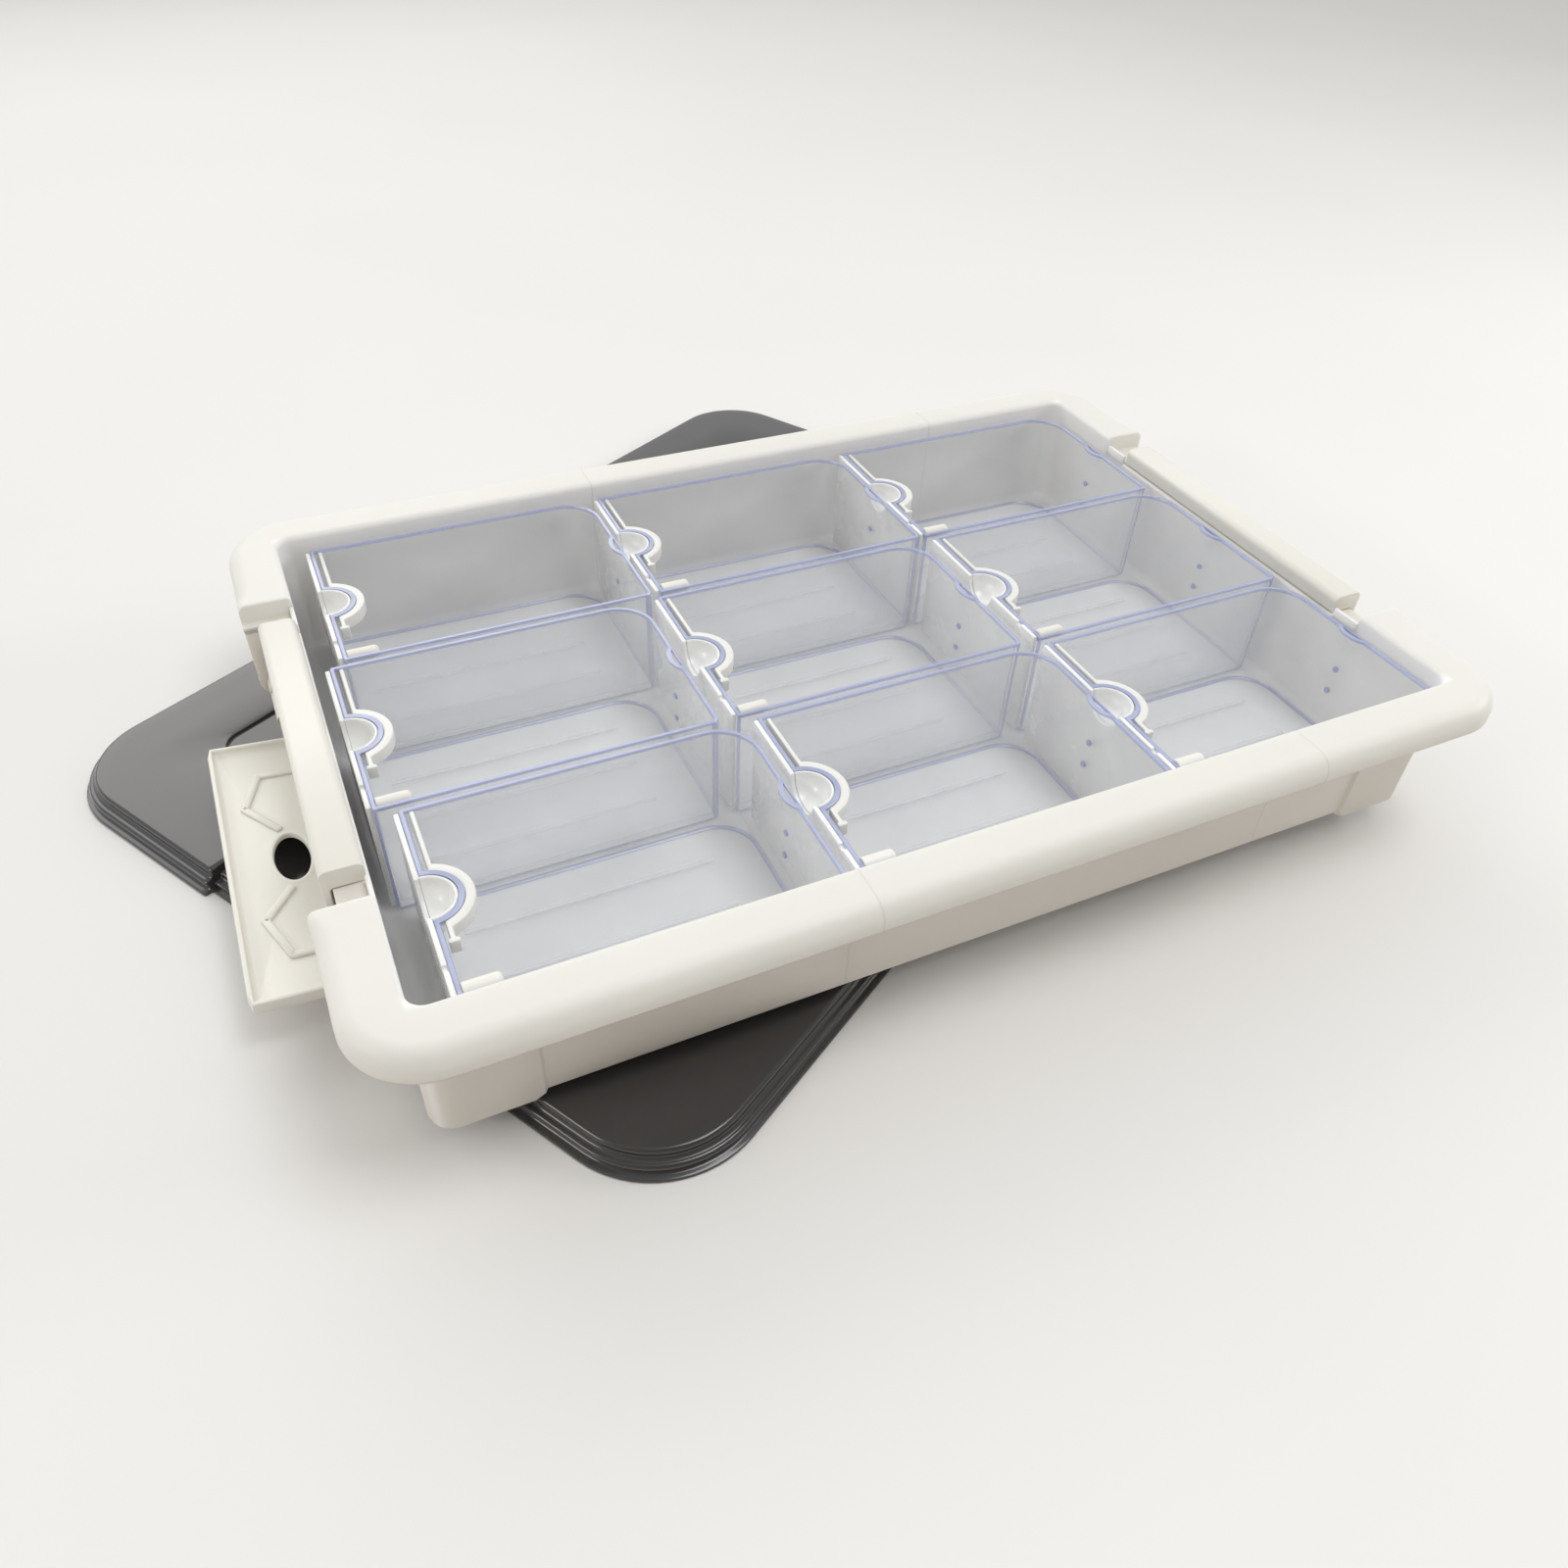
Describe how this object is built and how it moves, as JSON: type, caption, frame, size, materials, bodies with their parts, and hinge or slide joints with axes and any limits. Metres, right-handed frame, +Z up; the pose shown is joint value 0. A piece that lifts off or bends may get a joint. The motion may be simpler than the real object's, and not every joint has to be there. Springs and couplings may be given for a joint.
{
  "type": "storage tray with lift-out bins",
  "caption": "Shallow white tray with clear lift-out bins, white end panels with finger cups, rocking rim latches and a smoked lid lying under it.",
  "frame": {"origin": "on the standing surface, at the centre of the whole object's footprint", "axes": "+X along the tray's long side, towards the end whose bins have clear ends; +Y to the back; +Z up"},
  "size_m": [0.4956, 0.446, 0.0652],
  "materials": {
    "tray_plastic": "satin moulded polypropylene, off-white",
    "cream_plastic": "satin moulded polypropylene, slightly creamier",
    "white_plastic": "satin moulded plastic, white",
    "clear_plastic": "clear moulded styrene with a faint blue-violet edge",
    "smoked_plastic": "smoked grey moulded plastic, smooth and glossy"
  },
  "bodies": {
    "lid": {"lid": "smoked_plastic"},
    "tray": {"tray": "tray_plastic"},
    "latch_left": {"latch_left": "cream_plastic"},
    "latch_right": {"latch_right": "cream_plastic"},
    "bin_11": {"bin_11": "clear_plastic", "end_panel_11": "white_plastic", "inner_strip_11": "white_plastic", "side_peg_11": "cream_plastic"},
    "bin_12": {"bin_12": "clear_plastic", "end_panel_12": "white_plastic", "inner_strip_12": "white_plastic", "side_peg_12": "cream_plastic"},
    "bin_13": {"bin_13": "clear_plastic", "end_panel_13": "white_plastic", "inner_strip_13": "white_plastic", "side_peg_13": "cream_plastic"},
    "bin_21": {"bin_21": "clear_plastic", "end_panel_21": "white_plastic", "inner_strip_21": "white_plastic", "side_peg_21": "cream_plastic"},
    "bin_22": {"bin_22": "clear_plastic", "end_panel_22": "white_plastic", "inner_strip_22": "white_plastic", "side_peg_22": "cream_plastic"},
    "bin_23": {"bin_23": "clear_plastic", "end_panel_23": "white_plastic", "inner_strip_23": "white_plastic", "side_peg_23": "cream_plastic"},
    "bin_31": {"bin_31": "clear_plastic", "end_panel_31": "white_plastic", "inner_strip_31": "white_plastic", "side_peg_31": "cream_plastic"},
    "bin_32": {"bin_32": "clear_plastic", "end_panel_32": "white_plastic", "inner_strip_32": "white_plastic", "side_peg_32": "cream_plastic"},
    "bin_33": {"bin_33": "clear_plastic", "end_panel_33": "white_plastic", "inner_strip_33": "white_plastic", "side_peg_33": "cream_plastic"}
  },
  "joints": [
    {"name": "tray_lift", "type": "slide", "parent": "lid", "child": "tray", "axis": [0, 0, 1], "range_m": [0, 0.12]},
    {"name": "latch_left_rock", "type": "hinge", "parent": "tray", "child": "latch_left", "pos_m": [-0.17206, -0.064, 0.0332], "axis": [0, -1, 0], "range_deg": [0, 10]},
    {"name": "latch_right_rock", "type": "hinge", "parent": "tray", "child": "latch_right", "pos_m": [0.21694, -0.064, 0.0332], "axis": [0, 1, 0], "range_deg": [0, 10]},
    {"name": "bin_11_lift", "type": "slide", "parent": "tray", "child": "bin_11", "axis": [0, 0, 1], "range_m": [0, 0.09]},
    {"name": "bin_12_lift", "type": "slide", "parent": "tray", "child": "bin_12", "axis": [0, 0, 1], "range_m": [0, 0.09]},
    {"name": "bin_13_lift", "type": "slide", "parent": "tray", "child": "bin_13", "axis": [0, 0, 1], "range_m": [0, 0.09]},
    {"name": "bin_21_lift", "type": "slide", "parent": "tray", "child": "bin_21", "axis": [0, 0, 1], "range_m": [0, 0.09]},
    {"name": "bin_22_lift", "type": "slide", "parent": "tray", "child": "bin_22", "axis": [0, 0, 1], "range_m": [0, 0.09]},
    {"name": "bin_23_lift", "type": "slide", "parent": "tray", "child": "bin_23", "axis": [0, 0, 1], "range_m": [0, 0.09]},
    {"name": "bin_31_lift", "type": "slide", "parent": "tray", "child": "bin_31", "axis": [0, 0, 1], "range_m": [0, 0.09]},
    {"name": "bin_32_lift", "type": "slide", "parent": "tray", "child": "bin_32", "axis": [0, 0, 1], "range_m": [0, 0.09]},
    {"name": "bin_33_lift", "type": "slide", "parent": "tray", "child": "bin_33", "axis": [0, 0, 1], "range_m": [0, 0.09]}
  ]
}
